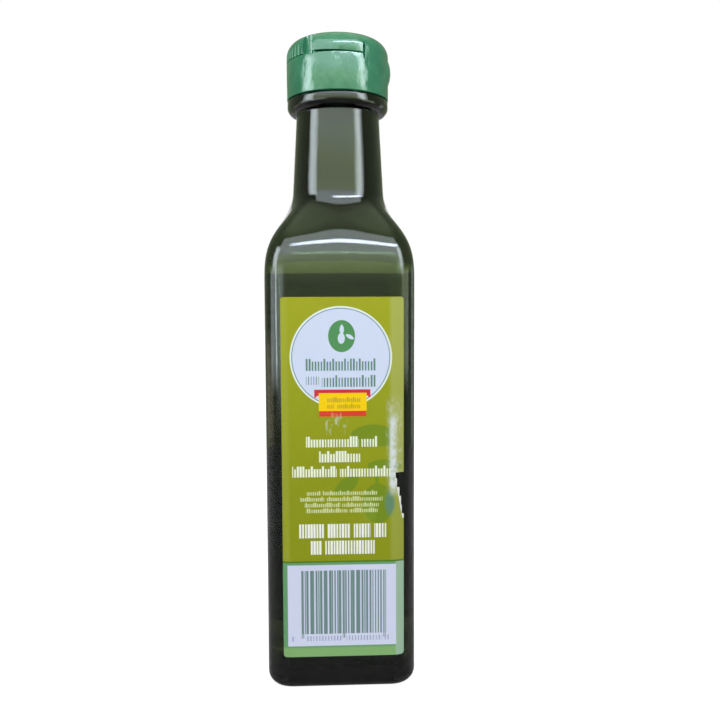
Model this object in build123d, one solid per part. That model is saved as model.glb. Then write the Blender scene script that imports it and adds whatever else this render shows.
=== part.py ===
from build123d import *
import math
import os

# Square olive oil bottle of about 250 ml with its flip-top closure shut.
# Millimetres. +Z is up and z = 0 is the table. The origin is the middle of the base.
# The front label faces -Y, the thumb tab of the closure faces -X and its hinge +X.

os.makedirs("parts", exist_ok=True)

# ---- Glass: body ----
body_width = 48.0          # square body, from face to face
corner_radius = 8.0        # upright corners of the body
body_height = 130.0        # from the table to the start of the shoulder
wall = 2.8                 # glass of the four faces
base_thickness = 5.6       # from the table to the floor of the cavity
heel_radius = 4.0          # outer round between base and faces
floor_radius = 4.6         # inner round between floor and faces
bearing_width = 3.0        # flat rim that stands on the table
punt_depth = 2.2           # recess under the base
punt_lean = 3.0            # how far the recess's sides lean in over its depth

# ---- Glass: shoulder, neck and finish ----
shoulder_height = 30.2
shoulder_bias = 1.5        # over 1 keeps the shoulder full and makes its flare short
round_bias = 2.4           # how late the square section turns into a circle
round_done = 1.0           # share of the shoulder's height at which it is a circle
neck_bow = 22.5            # degrees that a side turns, from middle to end, where it is a circle
section_count = 11         # sections that carry the shoulder's surface
neck_height = 26.0         # from the shoulder to the collar's underside
neck_base_radius = 15.25
neck_top_radius = 13.8
neck_fillet = 0.3          # hollow round between neck and collar, at most what the ledge there allows
collar_overhang = 1.8      # how far the collar stands out past the finish
collar_height = 4.5
collar_round = 2.6         # round of the collar's underside
collar_edge = 0.6          # round of the collar's upper edge
finish_radius = 15.0       # ring of glass that the closure is pushed onto
finish_height = 10.5
lip_round = 1.2
bore_radius = 8.5          # mouth and neck

# ---- Oil ----
oil_drop = 3.2             # from the neck's base down to the oil's level
oil_gap = 0.05             # keeps the oil's solid off the glass

# ---- Closure ----
cap_fit = 0.15             # between the finish and the skirt's bore
cap_wall = 1.75            # skirt
rim_gap = 0.3              # between the collar and the skirt's rim
deck_thickness = 1.6       # plate that lies on the bottle's lip
parting_gap = 0.2          # between the deck and the shut lid
lid_height = 6.9
lid_wall = 1.4             # lid wall left behind the finger notches
lid_top = 1.8
lid_edge = 5.0             # round of the lid's upper edge
rim_edge = 0.4             # chamfers along the parting line
tab_half_angle = 48.0      # ribbed thumb tab, each side of -X
notch_half_angle = 61.0    # outer end of the finger notches, each side of -X
notch_depth = 2.2
rib_pitch = 6.0            # degrees between the tab's grooves
rib_radius = 0.6           # groove tool
rib_depth = 0.35
hinge_half_angle = 61.0    # hinge band, each side of +X, ends in the side slits
hinge_band = 1.2           # thickness of the hinge band
hinge_reach = 0.9          # how far the band overlaps skirt and lid
slit_width = 1.0
slit_height = 5.6          # pointed at both ends
slit_rise = 0.8            # from the deck's top up to the middle of the slit
lid_lift = 0.6             # the lid stands this much off beside the front notch
lift_end = 4.4             # x at which that gap has closed
bump_height = 13.0         # bulge of the folded hinge
bump_width = 15.0
bump_proud = 0.8
bump_drop = 2.6            # its middle below the deck's top

# ---- Labels ----
label_margin = 4.8         # from each side of the body, so that the sides wrap onto the corners
label_bottom = 11.2
label_headroom = 4.2       # from the front label's top to the start of the shoulder
back_label_overrun = 4.2   # how far the back label reaches past the start of the shoulder
label_shift = 0.6          # the front label sits a little to the right
label_corner = 0.9
label_thickness = 0.1
glue_line = 0.03           # adhesive between glass and label

# ---- Worked out from the sizes above ----
half_width = body_width / 2
neck_base = body_height + shoulder_height
collar_radius = finish_radius + collar_overhang
collar_overhang_below = collar_radius - neck_top_radius
collar_round_here = min(collar_round, 0.9 * collar_overhang_below)
neck_fillet_here = min(neck_fillet, 0.75 * (collar_overhang_below - collar_round_here))
collar_bottom = neck_base + neck_height
collar_top = collar_bottom + collar_height
lip_top = collar_top + finish_height
inner_corner = max(corner_radius - wall, 1.0)
oil_level = neck_base - oil_drop
cap_bore = finish_radius + cap_fit
cap_radius = cap_bore + cap_wall
cap_rim = collar_top + rim_gap
deck_top = lip_top + deck_thickness
lid_bottom = deck_top + parting_gap
cap_top = lid_bottom + lid_height
lid_bore = cap_radius - notch_depth - lid_wall
label_width = body_width - 2 * label_margin
label_height = body_height - label_bottom - label_headroom
back_label_height = body_height - label_bottom + back_label_overrun


def section(half, corner, bow, z):
    """Level outline at height z: four sides and four corner arcs that run smoothly into them.

    half is from the middle to a side and corner is the corner's radius. bow is how far each
    side turns, in degrees, from its middle to its end: 0 is a flat side. A circle has corner
    equal to half, whatever its bow.
    """
    turn = math.radians(bow)
    centre = (half - corner) / (1 + math.tan(turn / 2))
    far = centre + corner * math.cos(turn)
    near = centre + corner * math.sin(turn)
    middle = centre + corner * math.sqrt(0.5)
    edges = []
    for quarter in range(4):
        if bow == 0:
            side = Line((far, -near), (far, near))
        else:
            side = ThreePointArc((far, -near), (half, 0), (far, near))
        rounding = ThreePointArc((far, near), (middle, middle), (near, far))
        spin = Rot(0, 0, 90 * quarter)
        edges += [spin * side, spin * rounding]
    return Pos(0, 0, z) * make_face(edges)


def rounded_square(half, corner, z):
    """Square outline with flat sides and rounded corners."""
    return section(half, corner, 0, z)


def upright(section, height):
    """Straight prism that stands on a level section."""
    return extrude(section, height, dir=(0, 0, 1))


def bottle_form(half, corner, bottom, neck_radius, neck_lean, floor_round):
    """Solid body and shoulder, from bottom to the neck's base.

    The section goes from a square with rounded corners to the neck's circle along
    an S-shaped curve. neck_lean is the neck's growth in radius for each mm downwards.
    """
    sections = []
    for step in range(section_count):
        t = step / (section_count - 1)
        z = body_height + shoulder_height * t
        square_share = (1 + math.cos(math.pi * t**shoulder_bias)) / 2
        round_share = math.sin(math.pi / 2 * min(t / round_done, 1) ** round_bias) ** 2
        neck_here = neck_radius + neck_lean * (neck_base - z)
        half_here = half * square_share + neck_here * (1 - square_share)
        corner_here = half_here * (corner / half + (1 - corner / half) * round_share)
        sections.append(section(half_here, corner_here, neck_bow * round_share, z))
    body = upright(rounded_square(half, corner, bottom), body_height - bottom)
    body = fillet(body.edges().group_by(Axis.Z)[0], floor_round)
    return body + loft(sections)


def turned_neck():
    """Neck, collar and finish as one turned solid."""
    inner = collar_radius - collar_round_here
    slant = collar_round_here * math.sqrt(0.5)
    underside = ThreePointArc(
        (inner, collar_bottom),
        (inner + slant, collar_bottom + collar_round_here - slant),
        (collar_radius, collar_bottom + collar_round_here),
    )
    lower = Polyline((0, neck_base), (neck_base_radius, neck_base), (neck_top_radius, collar_bottom),
                     (inner, collar_bottom))
    upper = Polyline(
        (collar_radius, collar_bottom + collar_round_here),
        (collar_radius, collar_top),
        (finish_radius, collar_top),
        (finish_radius, lip_top),
        (0, lip_top),
        (0, neck_base),
    )
    profile = make_face(lower + underside + upper)

    def soften(shape, radius, at):
        corner = shape.vertices().sort_by_distance(at)[0]
        return fillet(corner, radius)

    profile = soften(profile, neck_fillet_here, (neck_top_radius, collar_bottom))
    profile = soften(profile, collar_edge, (collar_radius, collar_top))
    profile = soften(profile, lip_round, (finish_radius, lip_top))
    return revolve(Plane.XZ * profile, Axis.Z)


def make_glass():
    lean = (neck_base_radius - neck_top_radius) / neck_height
    outside = bottle_form(half_width, corner_radius, 0, neck_base_radius, lean, heel_radius)
    outside = outside + turned_neck()
    cavity = bottle_form(half_width - wall, inner_corner, base_thickness, bore_radius, 0,
                         min(floor_radius, 0.95 * inner_corner))
    bore = upright(Pos(0, 0, neck_base) * Circle(bore_radius), lip_top - neck_base)
    punt_half = half_width - heel_radius - bearing_width
    punt_corner = min(inner_corner, 0.5 * punt_half)
    punt_share = 1 - punt_lean / punt_half
    punt = loft([
        rounded_square(punt_half, punt_corner, 0),
        rounded_square(punt_half * punt_share, punt_corner * punt_share, punt_depth),
    ], ruled=True)
    return outside - cavity - bore - punt


def make_oil():
    inner_half = half_width - wall - oil_gap
    corner = inner_corner - oil_gap
    form = bottle_form(inner_half, corner, base_thickness + oil_gap, bore_radius - oil_gap, 0,
                       min(floor_radius, 0.95 * corner))
    above = upright(rounded_square(2 * half_width, 1, oil_level), 2 * shoulder_height)
    return form - above


def ring_sector(inner, outer, middle, half_angle, bottom, height):
    """Part of an upright ring, half_angle degrees each side of the direction middle."""
    start = middle - half_angle
    arc = 2 * half_angle
    outer_arc = CenterArc((0, 0), outer, start, arc)
    inner_arc = CenterArc((0, 0), inner, start, arc)
    face = make_face(outer_arc + inner_arc + Line(outer_arc @ 0, inner_arc @ 0)
                     + Line(outer_arc @ 1, inner_arc @ 1))
    return upright(Pos(0, 0, bottom) * face, height)


def make_skirt():
    """Skirt and deck: pushed over the finish, with the deck lying on the lip."""
    skirt = upright(Pos(0, 0, cap_rim) * Circle(cap_radius), deck_top - cap_rim)
    skirt = chamfer(skirt.edges().group_by(Axis.Z)[-1], rim_edge)
    skirt = chamfer(skirt.edges().group_by(Axis.Z)[0], rim_edge / 2)
    return skirt - upright(Pos(0, 0, cap_rim) * Circle(cap_bore), lip_top - cap_rim)


def make_lid():
    """Hollow lid with its ribbed tab between two finger notches."""
    lid = upright(Pos(0, 0, lid_bottom) * Circle(cap_radius), lid_height)
    lid = fillet(lid.edges().group_by(Axis.Z)[-1], lid_edge)
    lid = chamfer(lid.edges().group_by(Axis.Z)[0], rim_edge / 2)
    lid = lid - upright(Pos(0, 0, lid_bottom) * Circle(lid_bore), lid_height - lid_top)

    notch_middle = (tab_half_angle + notch_half_angle) / 2
    notch_half = (notch_half_angle - tab_half_angle) / 2
    floor_radius_here = cap_radius - notch_depth
    groove = Circle(rib_radius)
    grooves = []
    for side in (-1, 1):
        middle = 180 + side * notch_middle
        lid = lid - ring_sector(floor_radius_here, cap_radius + 2, middle, notch_half,
                                lid_bottom, lid_height)
        for angle in (middle - rib_pitch / 2, middle + rib_pitch / 2):
            grooves.append(PolarLocations(floor_radius_here + rib_radius - rib_depth, 1, angle)
                           .locations[0])
    rib_count = 2 * int((tab_half_angle - rib_pitch / 2) / rib_pitch) + 1
    for rib in range(rib_count):
        angle = 180 + (rib - (rib_count - 1) / 2) * rib_pitch
        grooves.append(PolarLocations(cap_radius + rib_radius - rib_depth, 1, angle).locations[0])
    cuts = [upright(Pos(0, 0, lid_bottom) * place * groove, lid_height) for place in grooves]
    return lid - cuts


def make_cap():
    """Closure as moulded: skirt and lid are one piece, joined by the hinge band."""
    band = ring_sector(cap_radius - hinge_band, cap_radius, 0, hinge_half_angle,
                       deck_top - hinge_reach, parting_gap + 2 * hinge_reach)
    bump_radial = 4.0
    bump = scale(Sphere(1), by=(bump_radial, bump_width / 2, bump_height / 2))
    bump = Pos(cap_radius + bump_proud - bump_radial, 0, deck_top - bump_drop) * bump
    bump = bump - upright(Pos(0, 0, cap_rim) * Circle(cap_radius - hinge_band), 2 * lip_top)
    lid = make_lid()

    # The lid stands off the deck beside the front notch, in a gap that closes along the front.
    lift_start = -cap_radius * math.sin(math.radians(90 - tab_half_angle))
    wedge = make_face(Polyline((lift_start, lid_bottom), (lift_start, lid_bottom + lid_lift),
                               (lift_end, lid_bottom), close=True))
    wedge = extrude(Plane.XZ * wedge, 2 * cap_radius)
    wedge = wedge - upright(Circle(cap_radius * 0.72), 2 * cap_top)

    cap = make_skirt() + (lid - wedge) + band + bump
    for side in (-1, 1):
        slit = make_face(
            ThreePointArc((0, -slit_height / 2), (slit_width / 2, 0), (0, slit_height / 2))
            + ThreePointArc((0, -slit_height / 2), (-slit_width / 2, 0), (0, slit_height / 2))
        )
        slit = extrude(Plane.YZ * slit, hinge_band + 1.0, both=True)
        slit = Rot(0, 0, side * hinge_half_angle) * Pos(cap_radius, 0, deck_top + slit_rise) * slit
        cap = cap - slit
    return cap


def make_label(facing, height, shift):
    """Label that wraps from one face onto its corners. facing is -1 for front, 1 for back."""
    inside = half_width + glue_line
    corner = corner_radius + glue_line
    ring = upright(rounded_square(inside + label_thickness, corner + label_thickness, label_bottom),
                   height)
    ring = ring - upright(rounded_square(inside, corner, label_bottom), height)
    outline = Pos(shift, label_bottom + height / 2) * RectangleRounded(label_width, height,
                                                                       label_corner)
    stencil = extrude(Plane.XZ * outline, -facing * body_width)
    return ring & stencil


export_step(make_glass(), "parts/bottle_glass.step")
export_step(make_oil(), "parts/oil.step")
export_step(make_cap(), "parts/cap.step")
export_step(make_label(-1, label_height, label_shift), "parts/label_front.step")
export_step(make_label(1, back_label_height, 0), "parts/label_back.step")
print("height", cap_top, "cap radius", cap_radius)
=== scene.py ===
# %% [markdown]
# # A square bottle of olive oil
# The CAD model gives every piece its size and place. This lesson gives the pieces their looks:
# dark green glass with a real wall, golden oil inside it, a moulded flip-top closure and two
# printed labels. Everything is in metres, with the middle of the base at the origin.

import math

import bmesh
import bpy
from mathutils import Matrix, Vector


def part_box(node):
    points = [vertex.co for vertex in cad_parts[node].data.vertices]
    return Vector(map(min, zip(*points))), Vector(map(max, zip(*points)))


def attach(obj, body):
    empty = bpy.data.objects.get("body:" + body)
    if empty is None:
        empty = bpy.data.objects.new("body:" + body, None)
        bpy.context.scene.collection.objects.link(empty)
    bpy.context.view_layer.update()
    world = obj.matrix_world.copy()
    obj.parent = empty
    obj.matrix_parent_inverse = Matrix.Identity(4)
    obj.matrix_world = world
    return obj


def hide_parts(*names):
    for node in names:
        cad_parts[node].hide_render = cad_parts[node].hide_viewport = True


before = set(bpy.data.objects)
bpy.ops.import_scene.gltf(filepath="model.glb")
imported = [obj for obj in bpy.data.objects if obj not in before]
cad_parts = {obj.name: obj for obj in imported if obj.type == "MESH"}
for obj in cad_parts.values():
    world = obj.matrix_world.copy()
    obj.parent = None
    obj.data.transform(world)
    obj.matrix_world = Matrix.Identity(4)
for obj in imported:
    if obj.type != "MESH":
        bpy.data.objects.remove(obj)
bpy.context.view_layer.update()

# %% [markdown]
# ## Sizes
# What the frame can say is read from it: the body's width, the lip, the oil's level and the
# closure's rim. The rest are the bottle maker's own sizes, written here once, in millimetres.

# %% Sizes of the glass
MM = 0.001
_, glass_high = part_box("bottle_glass")
oil_low, oil_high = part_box("oil")
cap_low, cap_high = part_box("cap")

half_width = glass_high.x
lip_top = glass_high.z
oil_level = oil_high.z
cavity_half = oil_high.x
floor_top = oil_low.z
corner_radius = 8.0 * MM
inner_corner = 5.2 * MM
heel_radius = 4.0 * MM
floor_radius = 4.6 * MM
bearing_width = 3.0 * MM
punt_depth = 2.2 * MM
body_height = 130.0 * MM
shoulder_height = 30.2 * MM
neck_height = 26.0 * MM
neck_base = body_height + shoulder_height
collar_bottom = neck_base + neck_height
collar_height = 4.5 * MM
collar_top = collar_bottom + collar_height
collar_round = 2.6 * MM
neck_fillet = 0.3 * MM
neck_base_radius = 15.25 * MM
neck_top_radius = 13.8 * MM
collar_radius = 16.8 * MM
finish_radius = 15.0 * MM
bore_radius = 8.5 * MM
print("body", round(2 * half_width / MM, 1), "mm wide, lip at", round(lip_top / MM, 1), "mm")

# %% [markdown]
# ## The camera
# A person holding the camera a little above half the bottle's height looks slightly down on its
# base and up at its closure. The lens is a normal one, so the faces draw in only a little. The
# camera is turned about the upright first, then tipped, and then leaned by a trace.

# %% Camera
camera_data = bpy.data.cameras.new("camera")
camera = bpy.data.objects.new("camera", camera_data)
bpy.context.scene.collection.objects.link(camera)
bpy.context.scene.camera = camera
camera_data.sensor_width = 36.0
camera_data.lens = 39.38
camera_place = (-5.2 * MM, -269.3 * MM, 122.6 * MM)
look_down = 0.0671  # the three turns are in radians
look_right = 0.0459
tilt = -0.004
camera.matrix_world = (
    Matrix.Translation(camera_place)
    @ Matrix.Rotation(-look_right, 4, "Z")
    @ Matrix.Rotation(math.pi / 2 - look_down, 4, "X")
    @ Matrix.Rotation(tilt, 4, "Z")
)
camera_data.clip_start = 0.01
print("camera", tuple(round(v, 3) for v in camera.location), "lens", round(camera_data.lens, 1))

# %% [markdown]
# ## Helpers for modelling by operators
# An operator works on whatever is selected, and the frame's nodes arrive selected, so every new
# piece starts with nothing selected.

# %% Start, pick and name a piece
def nothing_selected():
    """Leaves edit mode and deselects everything."""
    if bpy.context.mode != "OBJECT":
        bpy.ops.object.mode_set(mode="OBJECT")
    bpy.ops.object.select_all(action="DESELECT")


def pick(piece):
    """Selects one piece alone and makes it the active one."""
    nothing_selected()
    piece.select_set(True)
    bpy.context.view_layer.objects.active = piece


def name_piece(name):
    """Names the active object and its mesh."""
    piece = bpy.context.active_object
    piece.name = name
    piece.data.name = name
    return piece


# %% [markdown]
# Most edits begin with the whole mesh selected and end with its faces turned outwards.

# %% Begin, cut and end an edit
def edit_all():
    """Enters edit mode with everything selected."""
    bpy.ops.object.mode_set(mode="EDIT")
    bpy.ops.mesh.select_all(action="SELECT")


def cut_at(place, normal, **more):
    """Cuts the whole mesh along a plane."""
    bpy.ops.mesh.select_all(action="SELECT")
    bpy.ops.mesh.bisect(plane_co=place, plane_no=normal, **more)


def end_edit():
    """Turns all faces outwards and leaves edit mode."""
    bpy.ops.mesh.select_all(action="SELECT")
    bpy.ops.mesh.normals_make_consistent(inside=False)
    bpy.ops.object.mode_set(mode="OBJECT")


# %% [markdown]
# Faces and edges are picked by where they lie, since their numbers change with every edit.

# %% Select by place
def edit_mesh():
    """The mesh in edit mode."""
    return bmesh.from_edit_mesh(bpy.context.active_object.data)


def deselected(kind):
    """The mesh in edit mode, in which faces or edges are picked and none is yet."""
    bpy.ops.mesh.select_mode(type=kind)
    bpy.ops.mesh.select_all(action="DESELECT")
    return edit_mesh()


def select_faces(test):
    """Selects the faces whose middle and normal pass a test."""
    mesh = deselected("FACE")
    for face in mesh.faces:
        face.select = bool(test(face.calc_center_median(), face.normal))
    mesh.select_flush_mode()
    bmesh.update_edit_mesh(bpy.context.active_object.data)


def select_edges(test):
    """Selects the edges whose two ends pass a test."""
    mesh = deselected("EDGE")
    for edge in mesh.edges:
        edge.select = bool(test(edge.verts[0].co, edge.verts[1].co))
    bmesh.update_edit_mesh(bpy.context.active_object.data)


# %% [markdown]
# A piece grows ring by ring: its cap is extruded, set at a height, rounded towards a circle and
# sized. Where its outline turns through a quarter round, a helper lists the rings of that round.

# %% Grow ring by ring
def grow(height, half, rounding=0.0):
    """Extrudes the selected cap to a height, rounds it and sets its side at half."""
    bpy.ops.mesh.extrude_region_move()
    before = next(vert.co.z for vert in edit_mesh().verts if vert.select)
    bpy.ops.transform.translate(value=(0, 0, height - before))
    if rounding:
        bpy.ops.transform.tosphere(value=rounding)
    share = half / max(vert.co.x for vert in edit_mesh().verts if vert.select)
    bpy.ops.transform.resize(value=(share, share, 1), center_override=(0, 0, height))


def arc_rings(radius, height, size, start, end, steps):
    """Rings of a round about a centre at (radius, height), from start to end in degrees."""
    found = []
    for step in range(steps + 1):
        angle = math.radians(start + (end - start) * step / steps)
        found.append((radius + size * math.cos(angle), height + size * math.sin(angle)))
    return found


# %% [markdown]
# ## A bottle's form
# The glass, the oil and the cavity share one form: a square with rounded corners that stands
# straight, draws in over the shoulder along an S-shaped curve and turns into the neck's circle.
# It starts as a plane with rounded corners, whose sides are cut so that they can bend.

# %% Start of the form
corner_steps = 8
side_cuts = 15


def start_form(name, half, corner, bottom):
    """A level square with rounded corners, in edit mode, with its one face selected."""
    nothing_selected()
    bpy.ops.mesh.primitive_plane_add(size=2 * half, location=(0, 0, bottom))
    piece = name_piece(name)
    bpy.ops.object.transform_apply(location=True)
    edit_all()
    bpy.ops.mesh.bevel(offset=corner, segments=corner_steps, affect="VERTICES")
    long_side = half - corner
    select_edges(lambda a, b: (a - b).length > long_side)
    bpy.ops.mesh.subdivide(number_cuts=side_cuts)
    bpy.ops.mesh.select_mode(type="FACE")
    bpy.ops.mesh.select_all(action="SELECT")
    return piece


# %% [markdown]
# Two curves shape the shoulder. One takes the width in, and its bias keeps the shoulder full and
# its flare short. The other turns the square into a circle, late, so that the four faces run
# well up before they fade.

# %% Shoulder
shoulder_steps = 22
shoulder_bias = 1.5
round_bias = 2.4


def shoulder(half, neck_radius, neck_lean):
    """Grows the selected cap from the body to the neck's base."""
    rounded = 0.0
    for step in range(1, shoulder_steps + 1):
        t = step / shoulder_steps
        height = body_height + shoulder_height * t
        square_share = (1 + math.cos(math.pi * t**shoulder_bias)) / 2
        round_share = math.sin(math.pi / 2 * t**round_bias) ** 2
        neck_here = neck_radius + neck_lean * (neck_base - height)
        half_here = half * square_share + neck_here * (1 - square_share)
        more = (round_share - rounded) / (1 - rounded) if rounded < 1 else 0.0
        rounded = round_share
        grow(height, half_here, more)


# %% [markdown]
# A moulded bottle has no sharp edge at its base. The round there comes last, as a bevel, because
# only then are all four sides in place to be rounded together.

# %% Round at the bottom
heel_steps = 8


def close_form(bottom, radius):
    """Rounds the edge between the bottom and the faces, and leaves edit mode."""
    select_edges(lambda a, b: abs(a.z - bottom) < 1e-6 and abs(b.z - bottom) < 1e-6)
    bpy.ops.mesh.bevel(offset=radius, segments=heel_steps, affect="EDGES")
    end_edit()


# %% [markdown]
# ## The glass
# A blown bottle has two skins: the mould shapes the outer one, and the air inside leaves the
# inner one softer and set in by the wall. Each is grown by itself, and the two are joined by a
# bridge across the lip, so that the wall is real and bends light as glass does.

# %% Outer skin of body and neck
neck_lean = (neck_base_radius - neck_top_radius) / neck_height
glass = start_form("glass_bottle", half_width, corner_radius, 0)
grow(body_height, half_width)
shoulder(half_width, neck_base_radius, neck_lean)
neck_steps = 6
for step in range(1, neck_steps + 1):
    height = neck_base + (neck_height - neck_fillet) * step / neck_steps
    grow(height, neck_base_radius - neck_lean * (height - neck_base))
print("neck leans in by", round(neck_lean, 4), "mm for each mm of height")

# %% [markdown]
# The collar is the bulge that a filling machine holds the bottle by. Its underside is a wide
# round, its upper edge a small one, and above it stands the finish with a rounded lip. Each round
# is listed as rings, and the skin grows through all of them in turn.

# %% Collar and finish
edge_round = 0.6 * MM
below_edge = collar_top - edge_round
lip_round = 1.2 * MM
finish_rings = arc_rings(neck_top_radius + neck_fillet, collar_bottom - neck_fillet,
                         neck_fillet, 180, 90, 5)[1:]
finish_rings += arc_rings(collar_radius - collar_round, collar_bottom + collar_round,
                          collar_round, -90, 0, 10)
finish_rings += arc_rings(collar_radius - edge_round, below_edge, edge_round, 0, 90, 4)
finish_rings += [(finish_radius, collar_top)]
finish_rings += arc_rings(finish_radius - lip_round, lip_top - lip_round, lip_round, 0, 90, 4)
for radius, height in finish_rings:
    grow(height, radius)
bpy.ops.mesh.delete(type="ONLY_FACE")
close_form(0, heel_radius)
print("outer skin", len(glass.data.polygons), "faces")

# %% [markdown]
# The base is pushed in so that the bottle stands on a rim and doesn't rock. The small face in the
# middle is grown inwards in four steps, each a little narrower.

# %% Recess under the base
bpy.ops.object.mode_set(mode="EDIT")
select_faces(lambda place, normal: normal.z < -0.99 and place.z < 1e-5 and place.xy.length < MM)
punt_half = half_width - heel_radius - bearing_width
punt_rounding = 0.12
punt_rings = ((0, 0), (0.5, 1.0 * MM), (0.9, 2.2 * MM), (1, 4.0 * MM))
for depth_share, inset in punt_rings:
    grow(depth_share * punt_depth, punt_half - inset, punt_rounding)
bpy.ops.object.mode_set(mode="OBJECT")
print("the bottle stands on a rim", round(bearing_width / MM, 1), "mm wide")

# %% [markdown]
# The inner skin has the same form, set in by the wall. It has no collar, since the air inside
# goes straight up the neck. Its faces look inwards, towards the air.

# %% Inner skin
inner = start_form("inner_skin", cavity_half, inner_corner, floor_top)
grow(body_height, cavity_half)
shoulder(cavity_half, bore_radius, 0)
for step in range(1, neck_steps + 1):
    grow(neck_base + (lip_top - neck_base) * step / neck_steps, bore_radius)
bpy.ops.mesh.delete(type="ONLY_FACE")
close_form(floor_top, floor_radius)
edit_all()
bpy.ops.mesh.flip_normals()
bpy.ops.object.mode_set(mode="OBJECT")
print("inner skin", len(inner.data.polygons), "faces")

# %% [markdown]
# Both skins are open at the lip. Those two loops are the only open edges, so one operator finds
# them and another bridges them.

# %% Join the two skins at the lip
smooth_below = 40
nothing_selected()
glass.select_set(True)
inner.select_set(True)
bpy.context.view_layer.objects.active = glass
bpy.ops.object.join()
bpy.ops.object.mode_set(mode="EDIT")
bpy.ops.mesh.select_mode(type="EDGE")
bpy.ops.mesh.select_all(action="DESELECT")
bpy.ops.mesh.select_non_manifold()
bpy.ops.mesh.bridge_edge_loops()
end_edit()
bpy.ops.object.shade_smooth_by_angle(angle=math.radians(smooth_below))
print("glass", len(glass.data.polygons), "faces")

# %% [markdown]
# ## The oil
# The oil wets the glass, so its skin is set a little into the wall: with no air between them,
# light passes from glass to oil almost unbent. At its level the oil climbs the wall a little.

# %% Oil up to its level in the shoulder
into_wall = 0.15 * MM
oil_half = cavity_half + into_wall
oil = start_form("oil_body", oil_half, inner_corner + into_wall, floor_top - into_wall)
grow(body_height, oil_half)
shoulder(oil_half, bore_radius + into_wall, 0)
bpy.ops.mesh.delete(type="ONLY_FACE")
close_form(floor_top - into_wall, floor_radius)
bpy.ops.object.mode_set(mode="EDIT")
cut_at((0, 0, oil_level), (0, 0, 1), clear_outer=True, use_fill=True)
bpy.ops.mesh.select_mode(type="FACE")
level_half = max(vert.co.x for vert in edit_mesh().verts if vert.select)
# The surface sinks away from the wall: how far down, and at what share of its half width.
meniscus = ((0.25 * MM, 0.93), (0.45 * MM, 0.84), (0.55 * MM, 0.7))
for drop, share in meniscus:
    grow(oil_level - drop, level_half * share)
end_edit()
bpy.ops.object.shade_smooth_by_angle(angle=math.radians(smooth_below))
print("oil", round(oil_level / MM, 1), "mm high,", len(oil.data.polygons), "faces")

# %% [markdown]
# ## The closure
# A flip-top closure is moulded in one shot: a skirt that is pushed over the bottle's finish, a
# deck that lies on the lip, and a lid that folds over on a thin hinge band. Its thumb tab looks
# to the left and its hinge to the right. Angles are counted from the right, in degrees.

# %% Sizes of the closure
skirt_bore = 15.15 * MM
cap_radius = 16.9 * MM
cap_rim = cap_low.z
cap_top = cap_high.z
deck_top = 202.8 * MM
lid_bottom = 203.0 * MM
lid_bore = 13.3 * MM
lid_ceiling = 208.1 * MM
lid_round = 5.0 * MM
rim_edge = 0.35 * MM
tab_half_angle = 48.0
notch_half_angle = 61.0
hinge_half_angle = 61.0
notch_floor = 14.7 * MM
print("closure from", round(cap_rim / MM, 1), "to", round(cap_top / MM, 1), "mm")


# %% [markdown]
# Each turned part grows ring by ring from a circle. With 144 sides its outline stays round even
# close up.

# %% Turned parts
around = 144


def turned(name, rings):
    """Turns a closed piece from a list of (radius, height), filling its first and last ring."""
    nothing_selected()
    bpy.ops.mesh.primitive_circle_add(vertices=around, radius=rings[0][0], fill_type="NOTHING",
                                      location=(0, 0, rings[0][1]))
    piece = name_piece(name)
    bpy.ops.object.transform_apply(location=True)
    bpy.ops.object.mode_set(mode="EDIT")
    bpy.ops.mesh.select_mode(type="EDGE")
    bpy.ops.mesh.select_all(action="SELECT")
    bpy.ops.mesh.edge_face_add()
    for radius, height in rings[1:]:
        grow(height, radius)
    end_edit()
    return piece


# %% [markdown]
# Notches, grooves and slits are taken out with cutters, as the mould's cores do, and parts are
# united in the same way. A cutter's size and turn are applied first, so that the boolean works
# on plain meshes.

# %% Cutters
def combine(target, tool, operation):
    """Joins the tool to the target, or takes it out, and removes the tool."""
    pick(target)
    bpy.ops.object.modifier_add(type="BOOLEAN")
    modifier = target.modifiers[-1]
    modifier.operation = operation
    modifier.solver = "EXACT"
    modifier.object = tool
    bpy.ops.object.modifier_apply(modifier=modifier.name)
    pick(tool)
    bpy.ops.object.delete()


def applied(piece):
    """Applies the piece's place, turn and size to its mesh."""
    pick(piece)
    bpy.ops.object.transform_apply(location=True, rotation=True, scale=True)
    return piece


def cut_out(target, size, turn):
    """Sizes the newest piece, turns it by angles in degrees and takes it out of the target."""
    cutter = bpy.context.active_object
    cutter.scale = size
    cutter.rotation_euler = [math.radians(angle) for angle in turn]
    combine(target, applied(cutter), "DIFFERENCE")


def around_axis(angle, radius, height):
    """A place at an angle in degrees from +X, at a radius and height."""
    turn = math.radians(angle)
    return (radius * math.cos(turn), radius * math.sin(turn), height)


# %% [markdown]
# The skirt and the deck are one turned piece. Small chamfers at the rim and along the parting
# line catch the light, as moulded edges do.

# %% Skirt and deck
skirt_rings = [(skirt_bore, lip_top), (skirt_bore, cap_rim + rim_edge / 2)]
skirt_rings += [(skirt_bore + rim_edge / 2, cap_rim)]
skirt_rings += arc_rings(cap_radius - rim_edge, cap_rim + rim_edge, rim_edge, -90, 0, 3)
skirt_rings += arc_rings(cap_radius - rim_edge, deck_top - rim_edge, rim_edge, 0, 90, 3)
closure = turned("closure", skirt_rings)
print("skirt", len(closure.data.polygons), "faces")

# %% [markdown]
# The lid is a hollow disc with a large round at its upper edge.

# %% Lid
lid_edge = rim_edge / 2
lid_rings = [(lid_bore, lid_ceiling), (lid_bore, lid_bottom)]
lid_rings += arc_rings(cap_radius - lid_edge, lid_bottom + lid_edge, lid_edge, -90, 0, 2)
lid_rings += arc_rings(cap_radius - lid_round, cap_top - lid_round, lid_round, 0, 90, 12)
lid = turned("lid", lid_rings)
print("lid", len(lid.data.polygons), "faces")

# %% [markdown]
# A notch on each side of the thumb tab lets a finger in, and fine upright grooves give it grip. A
# box cuts each notch, and one small cylinder each groove.

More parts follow.
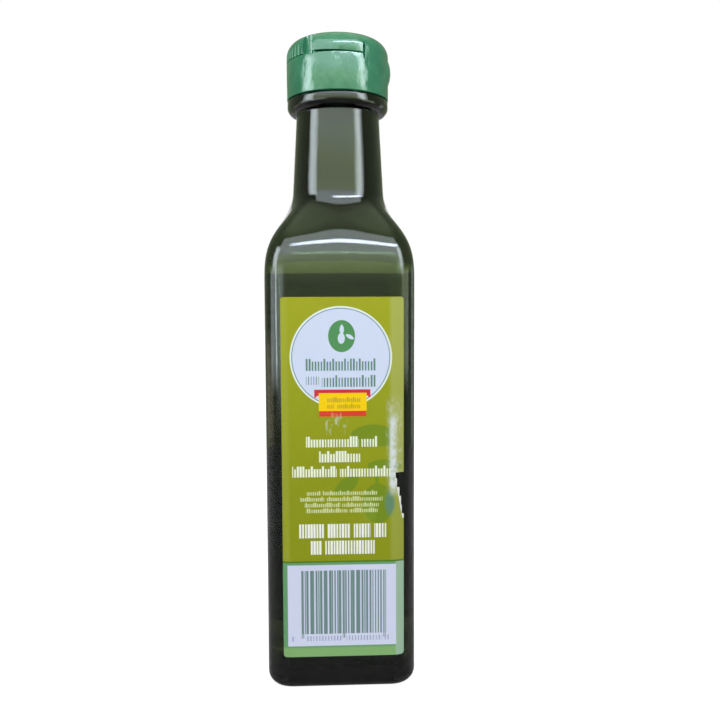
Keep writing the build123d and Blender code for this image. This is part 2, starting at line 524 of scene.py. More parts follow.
# %% Finger notches
notch_middle = (tab_half_angle + notch_half_angle) / 2
notch_reach = 6 * MM
notch_width = 2 * cap_radius * math.sin(math.radians(notch_half_angle - tab_half_angle) / 2)
for side in (-1, 1):
    angle = 180 + side * notch_middle
    nothing_selected()
    bpy.ops.mesh.primitive_cube_add(
        size=1, location=around_axis(angle, notch_floor + notch_reach / 2, lid_bottom + 5 * MM))
    cut_out(lid, (notch_reach, notch_width, 12 * MM), (0, 0, angle))
print("notches", round(notch_width / MM, 1), "mm wide")

# %% [markdown]
# The grooves go round the tab at an even pitch, with two more in each notch.

# %% Grooves for grip
rib_pitch = 6.0
rib_radius = 0.6 * MM
rib_depth = 0.35 * MM
tab_ribs = 15
rib_places = []
for rib in range(tab_ribs):
    angle = 180 + (rib - tab_ribs // 2) * rib_pitch
    rib_places.append((angle, cap_radius + rib_radius - rib_depth))
for side in (-1, 1):
    for half_step in (-0.5, 0.5):
        angle = 180 + side * notch_middle + half_step * rib_pitch
        rib_places.append((angle, notch_floor + rib_radius - rib_depth))
for angle, radius in rib_places:
    nothing_selected()
    bpy.ops.mesh.primitive_cylinder_add(vertices=12, radius=rib_radius, depth=14 * MM,
                                        location=around_axis(angle, radius, lid_bottom + 4 * MM))
    cut_out(lid, (1, 1, 1), (0, 0, 0))
print("grooves", len(rib_places), "lid faces", len(lid.data.polygons))

# %% [markdown]
# This lid doesn't shut quite flat. A thin leaning box takes a wedge from under it, beside the
# front notch.

# %% Gap under the lid
gap_middle = (-3.4 * MM, -15 * MM, lid_bottom + 0.02 * MM)
gap_size = (16 * MM, 5.6 * MM, 0.6 * MM)
gap_lean = 2.4
nothing_selected()
bpy.ops.mesh.primitive_cube_add(size=1, location=gap_middle)
cut_out(lid, gap_size, (0, gap_lean, 0))
print("gap", round(gap_size[2] / MM, 1), "mm high at most")

# %% [markdown]
# The hinge is a strip of the same plastic that joins skirt and lid. It is a stretch of a circle,
# extruded inwards and then upwards, so that it follows the closure's round.

# %% Hinge band
band_depth = 1.2 * MM
band_low = deck_top - 0.9 * MM
band_height = 2.0 * MM
nothing_selected()
bpy.ops.mesh.primitive_circle_add(vertices=around, radius=cap_radius, fill_type="NOTHING",
                                  location=(0, 0, band_low))
band = name_piece("hinge_band")
bpy.ops.object.transform_apply(location=True)
bpy.ops.object.mode_set(mode="EDIT")
band_start = cap_radius * math.cos(math.radians(hinge_half_angle))
select_edges(lambda a, b: min(a.x, b.x) < band_start)
bpy.ops.mesh.delete(type="EDGE")
bpy.ops.mesh.select_all(action="SELECT")
share = (cap_radius - band_depth) / cap_radius
bpy.ops.mesh.extrude_region_move()
bpy.ops.transform.resize(value=(share, share, 1), center_override=(0, 0, band_low))
bpy.ops.mesh.select_mode(type="FACE")
bpy.ops.mesh.select_all(action="SELECT")
bpy.ops.mesh.extrude_region_move(TRANSFORM_OT_translate={"value": (0, 0, band_height)})
end_edit()
print("hinge band", len(band.data.polygons), "faces")

# %% [markdown]
# Below the hinge the folded plastic swells out a little. A flattened ball, cut off flat inside
# the skirt, stands proud there. The lid, the band and the bulge are then united with the skirt.

# %% Bulge at the hinge
bulge_middle = (13.7 * MM, 0, deck_top - 2.6 * MM)
bulge_half = (4.0 * MM, 7.5 * MM, 6.5 * MM)
bulge_cut = 15.5 * MM
nothing_selected()
bpy.ops.mesh.primitive_uv_sphere_add(segments=48, ring_count=24, radius=1, location=bulge_middle)
bulge = name_piece("hinge_bulge")
bulge.scale = bulge_half
applied(bulge)
bpy.ops.object.mode_set(mode="EDIT")
cut_at((bulge_cut, 0, 0), (-1, 0, 0), clear_outer=True, use_fill=True)
bpy.ops.object.mode_set(mode="OBJECT")
for part in (lid, band, bulge):
    combine(closure, part, "UNION")
print("bulge stands", round((bulge_middle[0] + bulge_half[0] - cap_radius) / MM, 1), "mm proud")

# %% [markdown]
# A pointed slit at each end of the hinge stops the plastic from tearing further. Thin balls cut
# them. What the booleans leave doubled is merged, and flat parts keep sharp edges when smoothed.

# %% Slits at the ends of the hinge
slit_rise = 0.8 * MM
slit_half = (1.3 * MM, 0.5 * MM, 2.8 * MM)
for side in (-1, 1):
    nothing_selected()
    bpy.ops.mesh.primitive_uv_sphere_add(
        segments=24, ring_count=24, radius=1,
        location=around_axis(side * hinge_half_angle, cap_radius, deck_top + slit_rise))
    cut_out(closure, slit_half, (0, 0, side * hinge_half_angle))
pick(closure)
edit_all()
bpy.ops.mesh.remove_doubles(threshold=0.005 * MM)
end_edit()
bpy.ops.object.shade_smooth_by_angle(angle=math.radians(28))
print("closure", len(closure.data.polygons), "faces")

# %% [markdown]
# ## The labels
# A label is a sheet that bends round the body's corners. A plane is given rounded corners, is cut
# into upright strips where it has to bend, is laid onto the glass by a shrinkwrap and gets its
# thickness last. The front label is torn at its right edge, so a wedge is taken out of it.

# %% A flat sheet with a tear
label_low, label_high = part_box("label_front")
back_low, back_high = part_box("label_back")
label_corner = 0.9 * MM
strips_across = 12
strips_up = 40
bend_strips = 10
bend_strip = 0.4 * MM


def flat_sheet(name, low, high, facing, tear):
    """A flat sheet in front of the glass, facing -1, or behind it, facing 1."""
    nothing_selected()
    width = high.x - low.x
    height = high.z - low.z
    middle = ((low.x + high.x) / 2, facing * 30 * MM, (low.z + high.z) / 2)
    bpy.ops.mesh.primitive_plane_add(size=1, location=middle,
                                     rotation=(math.pi / 2, 0, 0 if facing < 0 else math.pi))
    piece = name_piece(name)
    piece.scale = (width, height, 1)
    applied(piece)
    edit_all()
    bpy.ops.mesh.bevel(offset=label_corner, segments=6, affect="VERTICES")
    bend = half_width - corner_radius
    cuts = [low.x + width * step / strips_across for step in range(1, strips_across)]
    cuts += [side * (bend + bend_strip * step) for side in (-1, 1) for step in range(bend_strips)]
    for place in cuts:
        cut_at((place, 0, 0), (1, 0, 0))
    for step in range(1, strips_up):
        cut_at((0, 0, low.z + height * step / strips_up), (0, 0, 1))
    if tear:
        tear_out(high.x, *tear)
    return piece


def tear_out(edge, top, bottom, depth):
    """Takes out what lies below a level cut and to the right of a slanting one."""
    cut_at((0, 0, top), (0, 0, 1))
    cut_at((edge, 0, bottom), (top - bottom, 0, depth))
    select_faces(lambda place, normal: place.z < top
                 and place.x > edge - depth * (place.z - bottom) / (top - bottom))
    bpy.ops.mesh.delete(type="FACE")


# %% [markdown]
# The shrinkwrap pushes the flat sheet straight onto the glass and stops a line of glue short of
# it. Solidify then gives the paper its thickness, outwards.

# %% Onto the glass
glue_line = 0.03 * MM
sheet_thickness = 0.09 * MM


def sheet(name, low, high, facing, tear=None):
    """A label: a flat sheet laid onto the glass and given its thickness."""
    piece = flat_sheet(name, low, high, facing, tear)
    pick(piece)
    bpy.ops.object.modifier_add(type="SHRINKWRAP")
    wrap = piece.modifiers[-1]
    wrap.target = glass
    wrap.wrap_method = "PROJECT"
    wrap.wrap_mode = "ABOVE_SURFACE"
    wrap.use_project_y = True
    wrap.use_negative_direction = True
    wrap.offset = glue_line
    bpy.ops.object.modifier_apply(modifier=wrap.name)
    bpy.ops.object.modifier_add(type="SOLIDIFY")
    thicken = piece.modifiers[-1]
    thicken.thickness = sheet_thickness
    thicken.offset = 1.0
    bpy.ops.object.modifier_apply(modifier=thicken.name)
    bpy.ops.object.mode_set(mode="EDIT")
    end_edit()
    bpy.ops.object.shade_smooth_by_angle(angle=math.radians(smooth_below))
    return piece


# Where the front label is torn: the tear's top, its bottom and how deep it goes in.
tear = (70.4 * MM, 55.6 * MM, 2.6 * MM)
front_sheet = sheet("front_label", label_low, label_high, -1, tear)
back_sheet = sheet("back_label", back_low, back_high, 1)
for label in (front_sheet, back_sheet):
    print(label.name, len(label.data.polygons), "faces")

# %% [markdown]
# ## Materials
# Every finish is built from nodes, in the piece's own coordinates. Each helper works on the tree
# at hand. Colours are written as they look on a screen and turned into linear ones.

# %% New material, colours and sockets
def new_material(name):
    """A new material with nodes, and its shader."""
    material = bpy.data.materials.new(name)
    material.use_nodes = True
    return material, material.node_tree.nodes["Principled BSDF"]


def linear(red, green, blue):
    """A colour as seen on a screen, 0 to 255, as the linear colour that shaders use."""
    share = [value / 255 for value in (red, green, blue)]
    return tuple(v / 12.92 if v <= 0.04045 else ((v + 0.055) / 1.055) ** 2.4 for v in share) + (1,)


def plug(socket, value):
    """Sets a socket to a number or colour, or links another socket to it."""
    if isinstance(value, bpy.types.NodeSocket):
        tree.links.new(value, socket)
    else:
        socket.default_value = value


# %% [markdown]
# Math nodes let a mask be written as a sum. It reads the piece's own coordinates, scaled so that
# a pattern can be written in millimetres.

# %% Math nodes and places
def maths(operation, *values, clamp=False):
    """One Math node: its operation on numbers or sockets."""
    node = tree.nodes.new("ShaderNodeMath")
    node.operation = operation
    node.use_clamp = clamp
    for socket, value in zip(node.inputs, values):
        plug(socket, value)
    return node.outputs[0]


def object_place():
    """The piece's own coordinates in millimetres: x, y and z."""
    place = tree.nodes.new("ShaderNodeTexCoord").outputs["Object"]
    scaled = tree.nodes.new("ShaderNodeVectorMath")
    scaled.operation = "SCALE"
    plug(scaled.inputs[0], place)
    scaled.inputs["Scale"].default_value = 1000
    split = tree.nodes.new("ShaderNodeSeparateXYZ")
    plug(split.inputs[0], scaled.outputs[0])
    return scaled.outputs[0], split.outputs[0], split.outputs[1], split.outputs[2]


# %% [markdown]
# Nothing made is even, so most finishes are driven by noise, stretched where the real surface
# runs one way.

# %% Noise and mixing
def noise(place, scale, detail=2.0, stretch=(1, 1, 1)):
    """Noise from 0 to 1, with scale in blotches per millimetre."""
    mapping = tree.nodes.new("ShaderNodeMapping")
    plug(mapping.inputs["Vector"], place)
    mapping.inputs["Scale"].default_value = stretch
    texture = tree.nodes.new("ShaderNodeTexNoise")
    plug(texture.inputs["Vector"], mapping.outputs[0])
    texture.inputs["Scale"].default_value = scale
    texture.inputs["Detail"].default_value = detail
    return texture.outputs["Fac"]


def remap(value, low, high, to_low, to_high):
    """A value from one range laid onto another, and held within it."""
    node = tree.nodes.new("ShaderNodeMapRange")
    for socket, number in zip(node.inputs, (value, low, high, to_low, to_high)):
        plug(socket, number)
    return node.outputs[0]


def mixed(share, first, second):
    """Two colours mixed: share 0 gives the first and 1 the second."""
    node = tree.nodes.new("ShaderNodeMix")
    node.data_type = "RGBA"
    plug(node.inputs["Factor"], share)
    plug(node.inputs[6], first)
    plug(node.inputs[7], second)
    return node.outputs[2]


# %% [markdown]
# A bump tilts the surface without moving it, for what is too fine to model. Absorption colours
# the light by how far it goes through the inside.

# %% Bump and depth
def bump(shader, height, distance):
    """A bump from a height of 0 to 1, with its depth in metres."""
    node = tree.nodes.new("ShaderNodeBump")
    plug(node.inputs["Distance"], distance)
    plug(node.inputs["Height"], height)
    plug(shader.inputs["Normal"], node.outputs["Normal"])


def absorption(colour, density):
    """Makes the inside of a piece absorb all but a colour, by a density per metre."""
    absorb = tree.nodes.new("ShaderNodeVolumeAbsorption")
    plug(absorb.inputs["Color"], colour)
    plug(absorb.inputs["Density"], density)
    plug(tree.nodes["Material Output"].inputs["Volume"], absorb.outputs["Volume"])


# %% [markdown]
# ## Glass and oil
# The colour of bottle glass lies in its depth, so the surface is clear and the inside absorbs:
# red and blue more than green. Cast glass is never quite even, so a faint bump, stretched upwards,
# bends its reflections. The oil absorbs blue and keeps its yellow.

# %% Glass and oil materials
glass_finish, shader = new_material("dark_green_glass")
tree = glass_finish.node_tree
place, x, y, z = object_place()
plug(shader.inputs["Base Color"], (1, 1, 1, 1))
plug(shader.inputs["Transmission Weight"], 1.0)
plug(shader.inputs["IOR"], 1.52)
haze = noise(place, 0.2, 4)
plug(shader.inputs["Roughness"], remap(haze, 0.4, 0.7, 0.005, 0.04))
slow = noise(place, 0.12, 1.5, (1, 1, 0.35))
streak = noise(place, 0.55, 2, (1, 1, 0.06))
bump(shader, maths("MULTIPLY_ADD", streak, 0.16, slow), 0.14 * MM)
absorption((0.12, 0.26, 0.08, 1), 500)
glass.data.materials.append(glass_finish)
print("glass", len(tree.nodes), "nodes")

oil_finish, shader = new_material("olive_oil")
tree = oil_finish.node_tree
plug(shader.inputs["Base Color"], (1, 1, 1, 1))
plug(shader.inputs["Transmission Weight"], 1.0)
plug(shader.inputs["IOR"], 1.47)
plug(shader.inputs["Roughness"], 0.0)
absorption((0.8, 0.76, 0.08, 1), 36)
oil.data.materials.append(oil_finish)

# %% [markdown]
# ## The closure's plastic
# Green polypropylene is a little translucent and half glossy. Its walls cool unevenly, so its
# highlights are wavy: a slow bump does that, and fine noise breaks up the gloss.

# %% Closure material
cap_finish, shader = new_material("green_polypropylene")
tree = cap_finish.node_tree
place, x, y, z = object_place()
blotch = noise(place, 0.25, 3)
dark_green, light_green = linear(50, 131, 97), linear(64, 143, 108)
tone = mixed(remap(blotch, 0.35, 0.65, 0, 1), dark_green, light_green)
plug(shader.inputs["Base Color"], tone)
grain = noise(place, 1.2, 4)
plug(shader.inputs["Roughness"], remap(grain, 0.3, 0.7, 0.09, 0.16))
plug(shader.inputs["Specular IOR Level"], 0.62)
plug(shader.inputs["Subsurface Weight"], 0.15)
plug(shader.inputs["Subsurface Radius"], (0.3, 0.6, 0.4))
plug(shader.inputs["Subsurface Scale"], 1.2 * MM)
bump(shader, noise(place, 0.28, 2, (1, 1, 0.6)), 0.25 * MM)
closure.data.materials.append(cap_finish)
print("closure", len(tree.nodes), "nodes")

# %% [markdown]
# ## The print on the front label
# The label is olive, with a roundel, a ribbon, rows that take the place of words, a motif in a
# darker tone and a panel of bars. Places are in millimetres from the middle of the base. A colour
# is laid on through a mask, a number that is 1 inside a shape and 0 outside it.

# %% Masks of simple shapes
front_finish, front_shader = new_material("front_label_print")
tree = front_finish.node_tree
place, x, y, z = object_place()
soft_edge = 0.12


def between(value, low, high, soft=soft_edge):
    """1 where value lies between low and high, with soft edges."""
    away = maths("ABSOLUTE", maths("SUBTRACT", value, (low + high) / 2))
    return maths("MULTIPLY_ADD", away, -1 / soft, (high - low) / 2 / soft + 0.5, clamp=True)


def box(x0, x1, z0, z1, soft=soft_edge):
    """1 inside an upright box."""
    return maths("MULTIPLY", between(x, x0, x1, soft), between(z, z0, z1, soft))


def ellipse(cx, cz, rx, rz, soft=soft_edge):
    """1 inside an ellipse, from its middle and its two radii."""
    across = maths("DIVIDE", maths("SUBTRACT", x, cx), rx)
    up = maths("DIVIDE", maths("SUBTRACT", z, cz), rz)
    squares = maths("ADD", maths("MULTIPLY", across, across), maths("MULTIPLY", up, up))
    distance = maths("SQRT", squares)
    edge = min(rx, rz) / soft
    return maths("MULTIPLY_ADD", distance, -edge, edge + 0.5, clamp=True)


# %% [markdown]
# Masks are combined as shapes are: where they all lie, where any of them lies, or one without
# another. Inks are laid on through them, one after another, and some of them thinly.

# %% Masks combined
def both(*masks):
    """1 where all of the masks are."""
    total = masks[0]
    for mask in masks[1:]:
        total = maths("MULTIPLY", total, mask)
    return total


def either(*masks):
    """1 where any of the masks is."""
    total = masks[0]
    for mask in masks[1:]:
        total = maths("MAXIMUM", total, mask)
    return total


def without(mask, hole):
    """1 where the mask is and the hole isn't."""
    return maths("MULTIPLY", mask, maths("SUBTRACT", 1, hole, clamp=True))


def leaf(cx, cz, size, reach, slant):
    """A leaf: where two equal discs overlap. slant turns it, in degrees."""
    turn = math.radians(slant)
    shift = size - reach
    dx, dz = -math.sin(turn) * shift, math.cos(turn) * shift
    return both(ellipse(cx + dx, cz + dz, size, size), ellipse(cx - dx, cz - dz, size, size))


def inked(mask, colour, strength=1):
    """The field so far, with a colour laid on it through a mask."""
    if strength < 1:
        mask = maths("MULTIPLY", mask, strength)
    return mixed(mask, field, linear(*colour))


# %% [markdown]
# From a reading distance a line of print is a row of upright strokes. Each cell of a row holds
# one stroke, whose width and height come by chance, and the row is broken where words would be.

# %% Rows of strokes
tall_from = 0.72


def strokes(words, low, high, pitch, weight, tall=0.0):
    """A row of plain upright strokes, no characters: words are (start, end) pairs."""
    cell = maths("DIVIDE", x, pitch)
    dice = tree.nodes.new("ShaderNodeTexWhiteNoise")
    dice.noise_dimensions = "1D"
    plug(dice.inputs["W"], maths("ADD", maths("FLOOR", cell), low * 7.3))
    away = maths("ABSOLUTE", maths("SUBTRACT", maths("FRACT", cell), 0.5))
    wide = remap(dice.outputs["Value"], 0, 1, weight * 0.36, weight * 0.6)
    soft = soft_edge / pitch
    stroke = maths("DIVIDE", maths("SUBTRACT", wide, away), soft)
    stroke = maths("ADD", stroke, 0.5, clamp=True)
    is_tall = maths("GREATER_THAN", dice.outputs["Value"], tall_from)
    top = maths("MULTIPLY_ADD", is_tall, tall * (high - low), high)
    above_top = maths("SUBTRACT", z, top)
    under = maths("MULTIPLY_ADD", above_top, -1 / soft_edge, 0.5, clamp=True)
    over = maths("MULTIPLY_ADD", z, 1 / soft_edge, 0.5 - low / soft_edge, clamp=True)
    row = either(*[between(x, start, end) for start, end in words])
    return both(stroke, under, over, row)


# %% [markdown]
# The olive field is a little lighter at the top. Along both edges, where the paper bends round the
# corners, a painted highlight makes it paler.

# %% Olive field
grain = noise(place, 2.5, 4)
field = mixed(remap(z, 60, 122, 0, 1), linear(138, 149, 14), linear(161, 168, 24))
field = inked(remap(grain, 0.3, 0.7, 0, 0.12), (190, 190, 80))
# Painted highlight: a pale strip along the right edge that grows stronger upwards, and a fainter
# one along the left edge.
right_edge_highlight = both(between(x, 15.6, 21, 1.2), remap(z, 40, 110, 0.25, 0.55))
field = inked(right_edge_highlight, (180, 188, 110))
field = inked(between(x, -19, -16.4, 1.0), (170, 178, 70), 0.35)

# %% [markdown]
# The motif is an olive on its twig under two leaves. Each is an ellipse or a part of one, laid on
# thinly, so that the field shows through.

# %% Leaf and olive motif
motif = either(
    both(ellipse(10.2, 76.6, 10.5, 9.2), box(3.2, 16.2, 78.8, 90)),
    both(ellipse(13.5, 71.0, 6.5, 3.6), box(8.5, 19, 71.6, 75.5)),
    leaf(1.6, 66.4, 6.2, 2.3, 35),
    ellipse(11.6, 60.6, 4.9, 6.3),
    box(10.8, 11.8, 66, 70.5),
)
field = inked(motif, (98, 138, 34), 0.62)
field = inked(ellipse(15.4, 60.6, 1.5, 3.6, 0.9), (96, 138, 120), 0.8)
field = inked(ellipse(8.6, 58.4, 2.6, 4.0, 1.6), (140, 165, 50), 0.35)

# %% [markdown]
# Three discs, one on another, leave a thin line near the roundel's edge. A green oval in it
# carries a drop with leaves, and two rows stand below.

# %% Roundel
roundel_middle = (0.1, 106.95)
discs = ((16.0, (232, 244, 240)), (15.45, (120, 150, 160)), (15.15, (214, 226, 250)))
for radius, colour in discs:
    field = inked(ellipse(*roundel_middle, radius, radius), colour)
plaque = ellipse(0.35, 113.6, 4.2, 5.0)
fruit = either(ellipse(0.25, 112.9, 1.1, 1.7), leaf(0.4, 115.6, 2.4, 0.7, 90),
               leaf(2.9, 113.4, 2.2, 0.6, -30))
field = inked(without(plaque, fruit), (84, 148, 92))
large_rows = either(
    strokes(((-11.0, 11.2),), 102.8, 105.7, 0.92, 0.55, 0.3),
    strokes(((-10.8, -6.8),), 98.4, 101.0, 0.8, 0.3),
    strokes(((-5.9, 11.2),), 97.7, 100.6, 0.92, 0.55, 0.28),
)
field = inked(large_rows, (98, 138, 128))

# %% [markdown]
# The ribbon crosses the foot of the roundel: a red hook at each end behind it, a red hem below
# and a yellow band with two small rows.

# %% Ribbon
hooks = without(box(-8.3, 9.3, 94.4, 96.9), both(between(x, -7.6, 8.6), between(z, 90, 94.9)))
field = inked(hooks, (214, 50, 62))
field = inked(box(-6.8, 7.9, 88.4, 92), (224, 66, 44))
field = inked(box(-6.9, 8.1, 90.15, 95.8), (254, 214, 6))
small_rows = either(strokes(((-4.4, 6.2),), 92.9, 94.1, 0.62, 0.7, 0.3),
                    strokes(((-4.4, -2.2), (-1.2, 6.2)), 90.9, 92.1, 0.62, 0.7, 0.3))
field = inked(small_rows, (176, 150, 40), 0.75)

# %% [markdown]
# Pale rows fill the middle of the label: three large ones, four small ones and two of even height.

# %% Pale rows
title_rows = either(
    strokes(((-11.0, 5.6), (6.4, 11.6)), 78.7, 81.2, 0.88, 0.66, 0.36),
    strokes(((-6.9, 6.0),), 73.9, 76.6, 0.9, 0.66, 0.32),
    strokes(((-15.4, -1.4), (-0.4, 15.7)), 69.2, 71.8, 0.88, 0.66, 0.34),
)
field = inked(title_rows, (240, 248, 226))
fine_rows = either(
    strokes(((-11.0, -6.4), (-5.8, 11.4),), 63.4, 64.5, 0.6, 0.62, 0.3),
    strokes(((-13.0, -5.4), (-4.8, 13.0),), 61.5, 62.6, 0.58, 0.62, 0.3),
    strokes(((-11.6, -0.4), (0.2, 11.8),), 59.6, 60.7, 0.6, 0.62, 0.3),
    strokes(((-11.2, 2.0), (2.6, 11.5),), 57.8, 58.9, 0.58, 0.62, 0.3),
)
field = inked(fine_rows, (226, 236, 180), 0.85)
even_rows = either(
    strokes(((-13.6, -5.6), (-4.4, 2.8), (3.9, 9.2), (10.4, 14.2)), 49.7, 54.2, 0.9, 0.72),
    strokes(((-9.8, -6.2), (-5.2, 10.5),), 44.4, 48.8, 0.9, 0.72),
)
field = inked(even_rows, (245, 249, 240))

# %% [markdown]
# The foot of the label has a green border round a white panel of upright bars. Three runs of bars
# of different pitch lie over each other, with small ticks below. They encode nothing.

# %% Panel of upright bars
border = maths("MULTIPLY_ADD", z, -1 / soft_edge, 42.0 / soft_edge + 0.5, clamp=True)
border_tone = mixed(between(z, 5, 14.2, 0.8), linear(104, 160, 110), linear(134, 180, 116))
field = mixed(border, field, border_tone)
# The painted highlight along the right edge goes on over the green border.
field = inked(both(border, between(x, 17.2, 21, 0.5)), (158, 190, 164))
field = inked(between(z, 41.8, 42.3), (84, 122, 30))
field = inked(box(-17.2, 17.3, 14.7, 41.0), (214, 221, 245))
bars = either(
    strokes(((-12.9, 14.1),), 18.6, 39.2, 0.86, 0.48),
    strokes(((-11.9, -3.3), (-1.0, 0.4), (3.2, 9.4)), 18.6, 39.2, 1.46, 0.52),
    strokes(((-12.9, -11.9), (0.2, 1.2), (13.2, 14.1)), 17.2, 39.2, 0.5, 0.6),
)
field = inked(bars, (96, 130, 122), 0.92)
ticks = strokes(((-16.4, -14.9), (-11.6, 0.0), (1.4, 12.8), (13.6, 15.4)), 16.3, 17.9, 0.95, 0.42)
field = inked(ticks, (120, 130, 170), 0.6)

# %% [markdown]
# The paper is scuffed in a patch high in the middle. Along its right edge lie a painted sheen and
# a painted highlight streak, and its white core shows along the tear.

# %% Scuffs and painted sheen on the front label
scuff_and_sheen_noise = remap(noise(place, 1.1, 5, (1, 1, 0.45)), 0.52, 0.66, 0, 1)
edge_sheen_noise = maths("ADD", scuff_and_sheen_noise, 0.25, clamp=True)
# The right-edge part of this mask is painted sheen. The patch high in the middle is a scuff.
scuffs_and_sheen = either(
    both(between(x, 14.6, 19.2, 1.6), between(z, 65, 93, 6), edge_sheen_noise),
    both(ellipse(-1.8, 86.0, 3.6, 3.4, 2.4), scuff_and_sheen_noise),
)
field = inked(scuffs_and_sheen, (206, 216, 190), 0.6)
# Painted highlight: a bluish white streak along the right edge, where the paper curves. It is
# bumped as well.
painted_highlight_streak = both(between(x, 15.4, 17.4, 0.9), between(z, 64.5, 88, 4),
              remap(noise(place, 0.5, 4), 0.3, 0.5, 0.35, 1))
field = inked(painted_highlight_streak, (222, 232, 238), 0.9)
tear_top, tear_bottom, tear_depth = (size / MM for size in tear)
slope = (tear_top - tear_bottom) / tear_depth
torn_x = maths("MULTIPLY_ADD", z, -1 / slope, label_high.x / MM + tear_bottom / slope)
off_edge = maths("SUBTRACT", torn_x, x)
torn = both(between(off_edge, -1, 0.45, 0.15), between(z, tear_bottom, tear_top, 0.2))
field = inked(torn, (236, 240, 236))
plug(front_shader.inputs["Base Color"], field)
plug(front_shader.inputs["Roughness"], remap(grain, 0.3, 0.7, 0.32, 0.46))
plug(front_shader.inputs["Specular IOR Level"], 0.15)
relief = maths("ADD", grain, maths("MULTIPLY", painted_highlight_streak, 1.5))
bump(front_shader, relief, 0.04 * MM)
front_sheet.data.materials.append(front_finish)
print("front label", len(tree.nodes), "nodes")

# %% [markdown]
# ## The back label
# It faces away, so it is finished plainly: a pale field with an olive border, a dozen rows and a
# green square.

# %% Print on the back label
back_finish, back_shader = new_material("back_label_print")
tree = back_finish.node_tree
place, x, y, z = object_place()
grain = noise(place, 2.5, 4)
field = mixed(remap(grain, 0.3, 0.7, 0, 1), linear(140, 150, 34), linear(146, 156, 42))
field = inked(box(-16.8, 16.8, 14.5, 130), (226, 232, 226))
rows = []
for row in range(12):
    ends = (-14.5 + row % 3, 13.5 - (row * 2) % 5)
    rows.append(strokes((ends,), 120 - 5 * row, 121.6 - 5 * row, 0.7, 0.7))
field = inked(either(*rows), (96, 120, 100), 0.8)
field = inked(box(-12, 12, 20, 44), (150, 180, 130))
plug(back_shader.inputs["Base Color"], field)
plug(back_shader.inputs["Roughness"], remap(grain, 0.3, 0.7, 0.35, 0.5))
bump(back_shader, grain, 0.03 * MM)
back_sheet.data.materials.append(back_finish)
print("back label", len(tree.nodes), "nodes")

# %% [markdown]
# ## Putting the pieces in the frame
# Nothing on this bottle moves by itself, so every piece rides the root and stands in for one node.

# %% Pieces and their nodes
for piece, node, slot in (
    (glass, "bottle_glass", "glass"), (oil, "oil", "oil"), (closure, "cap", "cap_plastic"),
    (front_sheet, "label_front", "label_paper"), (back_sheet, "label_back", "label_back_paper"),
):
    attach(piece, "root")
    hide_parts(node)
    print(piece.name, "stands in for", node)

# %% [markdown]
# ## The studio
# The floor is a plain pale one that keeps the shadow. It is greyer in front, where the glass would
# mirror too much of it, and is lifted towards white for the camera alone.

# %% Floor
nothing_selected()
bpy.ops.mesh.primitive_plane_add(size=8, location=(0, 0, 0))
floor = name_piece("floor")
floor_finish, shader = new_material("floor")
tree = floor_finish.node_tree
place, x, y, z = object_place()
pale = remap(y, -60, 60, 0, 1)
front_grey, back_grey = linear(148, 148, 148), linear(208, 208, 208)
plug(shader.inputs["Base Color"], mixed(pale, front_grey, back_grey))
plug(shader.inputs["Roughness"], 0.9)
plug(shader.inputs["Specular IOR Level"], 0.1)
lift = tree.nodes.new("ShaderNodeEmission")
seen = tree.nodes.new("ShaderNodeLightPath")
plug(lift.inputs["Strength"],
     maths("MULTIPLY", seen.outputs["Is Camera Ray"], remap(pale, 0, 1, 0.86, 0.92)))
both_shaders = tree.nodes.new("ShaderNodeAddShader")
plug(both_shaders.inputs[0], shader.outputs[0])
plug(both_shaders.inputs[1], lift.outputs[0])
plug(tree.nodes["Material Output"].inputs["Surface"], both_shaders.outputs[0])
floor.data.materials.append(floor_finish)
print("floor", round(floor.dimensions.x, 1), "m wide")

# %% [markdown]
# The background is white for the camera, in gloss and behind glass, and dimmer as a light.

# %% Background
dim_light = 0.4
world = bpy.data.worlds.new("studio")
bpy.context.scene.world = world
world.use_nodes = True
tree = world.node_tree
seen = tree.nodes.new("ShaderNodeLightPath")
mirrored = maths("MAXIMUM", seen.outputs["Is Glossy Ray"], seen.outputs["Is Transmission Ray"])
white = maths("MAXIMUM", seen.outputs["Is Camera Ray"], mirrored)
background = tree.nodes["Background"]
plug(background.inputs["Strength"], remap(white, 0, 1, dim_light, 1.0))
plug(background.inputs["Color"], (1, 1, 1, 1))
print("background, for light,", dim_light)

# %% [markdown]
# ## What the glass mirrors
# One ring wall stands round the bottle and is seen only in glass and gloss. It is open behind, so
# that the background shows through the glass.

# %% Ring wall
ring_radius = 0.4
ring_height = 2.0
opening_top = 0.30
nothing_selected()
bpy.ops.mesh.primitive_cylinder_add(vertices=120, radius=ring_radius, depth=ring_height,
                                    location=(0, 0, ring_height / 2 + MM))
ring = name_piece("light_ring")
bpy.ops.object.transform_apply(location=True)
bpy.ops.object.mode_set(mode="EDIT")
cut_at((0, 0, opening_top), (0, 0, 1))
select_faces(lambda place, normal: (place.y > 0.93 * ring_radius and place.z < opening_top)
             or place.z < 0.01)
bpy.ops.mesh.delete(type="FACE")
bpy.ops.object.mode_set(mode="OBJECT")
ring.visible_camera = False
ring.visible_diffuse = False
ring.visible_shadow = False
print("ring", len(ring.data.polygons), "faces")

# %% [markdown]
# The ring's light is a sum: a dim greenish room, a broad wall of light in front that gets
# brighter upwards, two upright strips, a thin level strip, and dim panels and lines at the sides.
# Each has its own colour, because what stands round a bottle isn't all one white.

# %% Lights on the ring
ring_finish, shader = new_material("light_ring")
tree = ring_finish.node_tree
place, x, y, z = object_place()
azimuth = maths("DEGREES", maths("ARCTAN2", x, maths("MULTIPLY", y, -1)))


def patch(power, low_side, high_side, side_soft, low, high, height_soft):
    """One light on the ring: its power, its sides in degrees and its heights in millimetres."""
    across = between(azimuth, low_side, high_side, side_soft)
    return maths("MULTIPLY", both(across, between(z, low, high, height_soft)), power)


def shine(strength, colour):
    """A colour scaled by a strength."""
    node = tree.nodes.new("ShaderNodeVectorMath")
    node.operation = "SCALE"
    node.inputs[0].default_value = colour
    plug(node.inputs["Scale"], strength)
    return node.outputs[0]


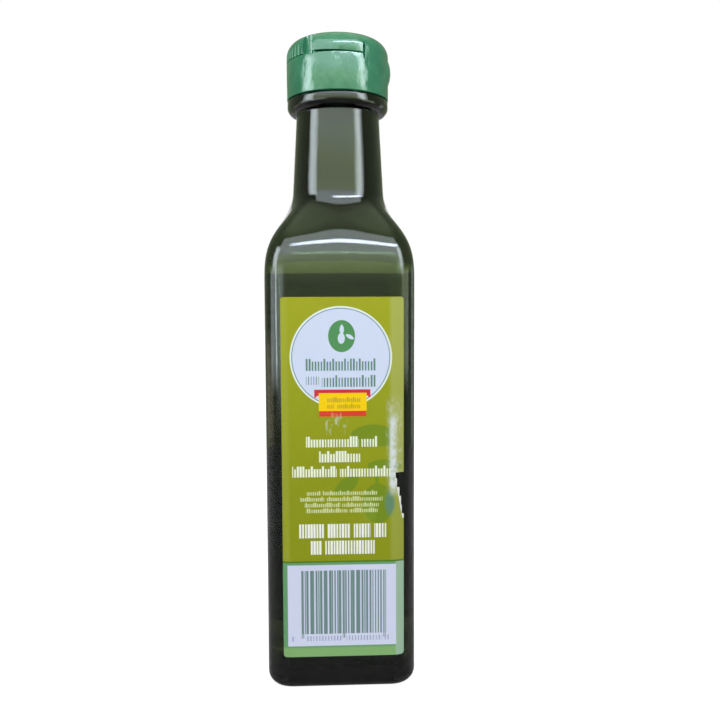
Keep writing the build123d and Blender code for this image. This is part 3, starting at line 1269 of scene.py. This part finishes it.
leafy, cool = (0.84, 1.0, 0.66), (0.84, 0.95, 1.0)
sky, warm = (0.75, 0.82, 1.0), (1.0, 0.84, 0.66)
rising = remap(z, 140, 360, 0.42, 3.6)
lights = (
    (maths("MULTIPLY", patch(1, -60, 60, 6, 100, 310, 50), rising), leafy),
    (maths("MULTIPLY", patch(1, -60, 60, 6, 310, 715, 50), rising), cool),
    (patch(10, -79, -58, 12, 185, 430, 60), cool),
    (patch(8.5, 46, 64, 12, 185, 430, 60), cool),
    (patch(25, -12, 60, 18, 445, 505, 22), sky),
    (patch(1.9, -62, -28, 8, 45, 200, 60), cool),
    (patch(2.9, -90, -66, 8, 60, 185, 30), cool),
    (patch(9, -65, -59, 2, 60, 185, 25), cool),
    (patch(0.7, -125, -80, 12, 2, 90, 30), warm),
    (patch(2.1, 55, 90, 8, 60, 185, 30), leafy),
    (patch(0.9, 113, 126, 5, 2, 180, 30), cool),
)
total = shine(remap(z, 600, 1000, 0.36, 1.2), leafy)
for strength, colour in lights:
    added = tree.nodes.new("ShaderNodeVectorMath")
    plug(added.inputs[0], shine(strength, colour))
    plug(added.inputs[1], total)
    total = added.outputs[0]
glow = tree.nodes.new("ShaderNodeEmission")
plug(glow.inputs["Color"], total)
plug(tree.nodes["Material Output"].inputs["Surface"], glow.outputs[0])
ring.data.materials.append(ring_finish)
print("lights on the ring", len(lights) + 1)

# %% [markdown]
# Paper and plastic need plain light. One broad lamp stands in front, a little above, and two
# narrow ones stand at the sides, at a level where a colour comes out about as it is written.

# %% Lamps
lit_point = Vector((0, 0, 0.12))


def lamp(name, width, height, azimuth, elevation, reach, radiance):
    """A soft lamp that lights the bottle but isn't mirrored in it."""
    data = bpy.data.lights.new(name, "AREA")
    data.shape = "RECTANGLE"
    data.size = width
    data.size_y = height
    data.energy = radiance * math.pi * width * height
    thing = bpy.data.objects.new(name, data)
    bpy.context.scene.collection.objects.link(thing)
    side, up = math.radians(azimuth), math.radians(elevation)
    offset = Vector((math.sin(side) * math.cos(up), -math.cos(side) * math.cos(up), math.sin(up)))
    thing.location = lit_point + reach * offset
    thing.rotation_euler = offset.to_track_quat("Z", "Y").to_euler()
    thing.visible_camera = False
    thing.visible_glossy = False
    thing.visible_transmission = False


lamp("key", 1.2, 0.9, 0, 34, 1.4, 4.1)
lamp("left_fill", 0.3, 0.9, -66, 12, 1.2, 2)
lamp("right_fill", 0.3, 0.9, 66, 12, 1.2, 2)
bpy.context.scene.view_settings.view_transform = "Standard"
